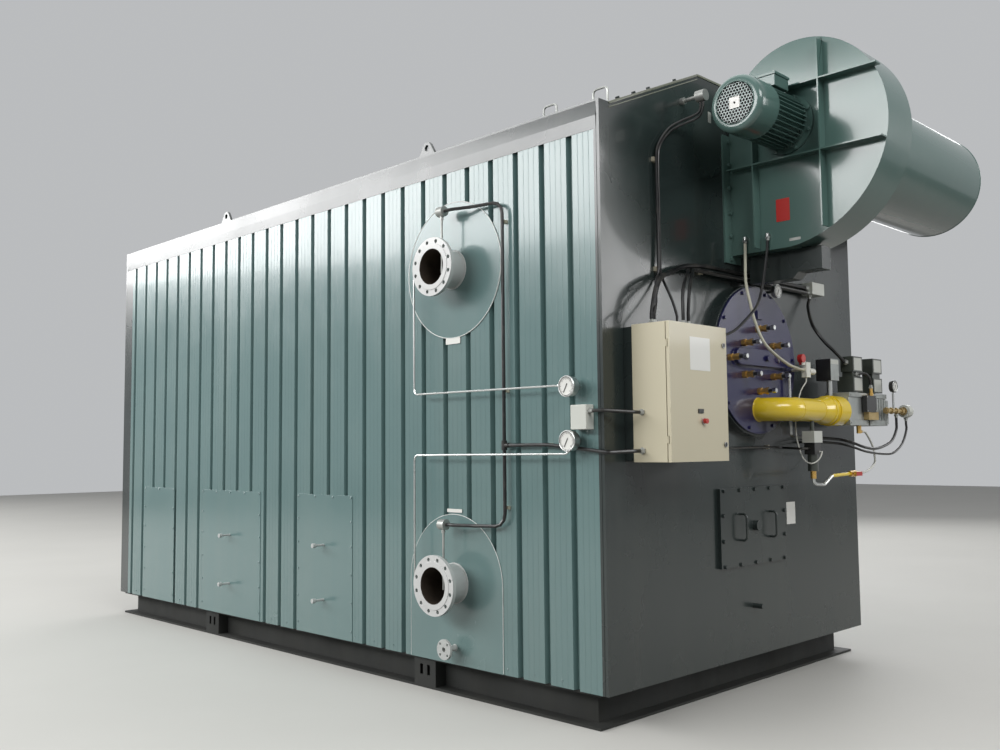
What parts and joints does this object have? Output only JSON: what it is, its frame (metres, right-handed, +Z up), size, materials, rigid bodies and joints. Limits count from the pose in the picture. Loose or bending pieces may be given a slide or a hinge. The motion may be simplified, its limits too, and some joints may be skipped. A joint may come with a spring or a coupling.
{
  "type": "industrial boiler",
  "caption": "Long insulated hot-water boiler on a beam frame, with ribbed sides, flanged nozzles, a front burner, its gas train and radial fan, and a hinged control cabinet.",
  "frame": {"origin": "on the floor under the middle cross beam, at the centre of the casing's length and width", "axes": "+Z up, -Y towards the burner front, -X towards the side with the water nozzles"},
  "size_m": [3.398, 6.5075, 3.7055],
  "materials": {
    "cladding_paint": "glossy light grey-green coated sheet",
    "dark_paint": "dark grey-green enamel",
    "fan_paint": "glossy grey-green enamel",
    "nozzle_paint": "light grey paint",
    "bright_steel": "plain steel, slightly brushed",
    "brass": "turned brass",
    "cable_sheath": "black cable sheath",
    "cabinet_paint": "textured light grey powder coat",
    "gas_paint": "yellow enamel",
    "burner_paint": "glossy dark violet blue enamel",
    "valve_alloy": "die-cast, matt",
    "red_plastic": "moulded buttons and locks"
  },
  "bodies": {
    "plant": {"base_frame": "dark_paint", "cross_beams": "dark_paint", "bottom_sheet": "dark_paint", "left_cladding": "cladding_paint", "right_cladding": "cladding_paint", "top_fascia": "dark_paint", "corner_posts": "dark_paint", "front_plate": "dark_paint", "rear_plate": "dark_paint", "roof": "dark_paint", "roof_handles": "bright_steel", "lifting_lugs": "dark_paint", "round_cover": "cladding_paint", "arched_cover": "cladding_paint", "side_covers": "cladding_paint", "upper_nozzle": "nozzle_paint", "lower_nozzle": "nozzle_paint", "drain_nozzle": "nozzle_paint", "temperature_probes": "bright_steel", "side_conduit": "cable_sheath", "cable_clips": "bright_steel", "impulse_tubes": "bright_steel", "pressure_gauges": "bright_steel", "junction_boxes": "nozzle_paint", "cabinet_frame": "dark_paint", "control_cabinet": "cabinet_paint", "burner_ring": "dark_paint", "burner_plate": "burner_paint", "burner_lances": "brass", "gas_pipe": "gas_paint", "throttle_valve": "gas_paint", "gas_valves": "valve_alloy", "valve_actuators": "valve_alloy", "gas_switches": "valve_alloy", "pilot_valves": "valve_alloy", "pilot_line": "gas_paint", "front_cables": "cable_sheath", "air_hoses": "cable_sheath", "fan_housing": "fan_paint", "fan_motor": "fan_paint", "motor_cowl": "fan_paint", "terminal_box": "fan_paint", "intake_silencer": "fan_paint", "fan_foot": "dark_paint", "front_hatch": "dark_paint"},
    "door": {"cabinet_door": "cabinet_paint", "door_switches": "red_plastic"}
  },
  "joints": [
    {"name": "cabinet_door_hinge", "type": "hinge", "parent": "plant", "child": "door", "pos_m": [-1.198, -3.05, 1.677], "axis": [0, 0, -1], "range_deg": [0, 120]}
  ]
}
